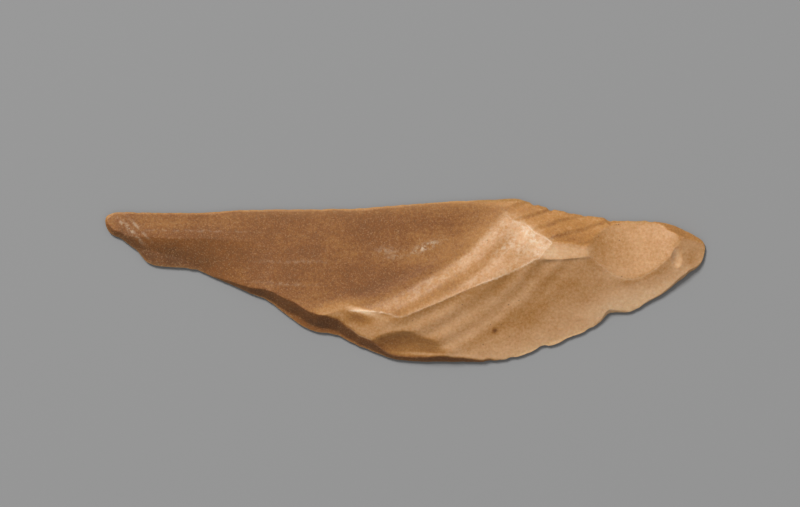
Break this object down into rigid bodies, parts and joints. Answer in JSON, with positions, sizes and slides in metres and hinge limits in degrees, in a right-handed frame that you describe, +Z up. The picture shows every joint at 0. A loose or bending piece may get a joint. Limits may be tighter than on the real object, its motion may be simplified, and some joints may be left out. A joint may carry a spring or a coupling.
{
  "type": "flint sickle blade",
  "caption": "Long thin knapped flint blade, smooth and flat below, with one sharp straight edge, a low crest and a pointed tip, used as the cutting insert of a sickle.",
  "frame": {"origin": "bottom centre of the bounding box, on the floor the blade lies on", "axes": "+X along the blade from its blunt end to its point, +Y across it toward the long straight edge, +Z up from the smooth underside"},
  "size_m": [0.1, 0.0272, 0.0047],
  "materials": {
    "flint": "honey brown flint, smooth with a low sheen, darker on the long scar and paler toward the point, slightly translucent at its thin edges"
  },
  "bodies": {
    "root": {"flint_blade": "flint"}
  },
  "joints": []
}
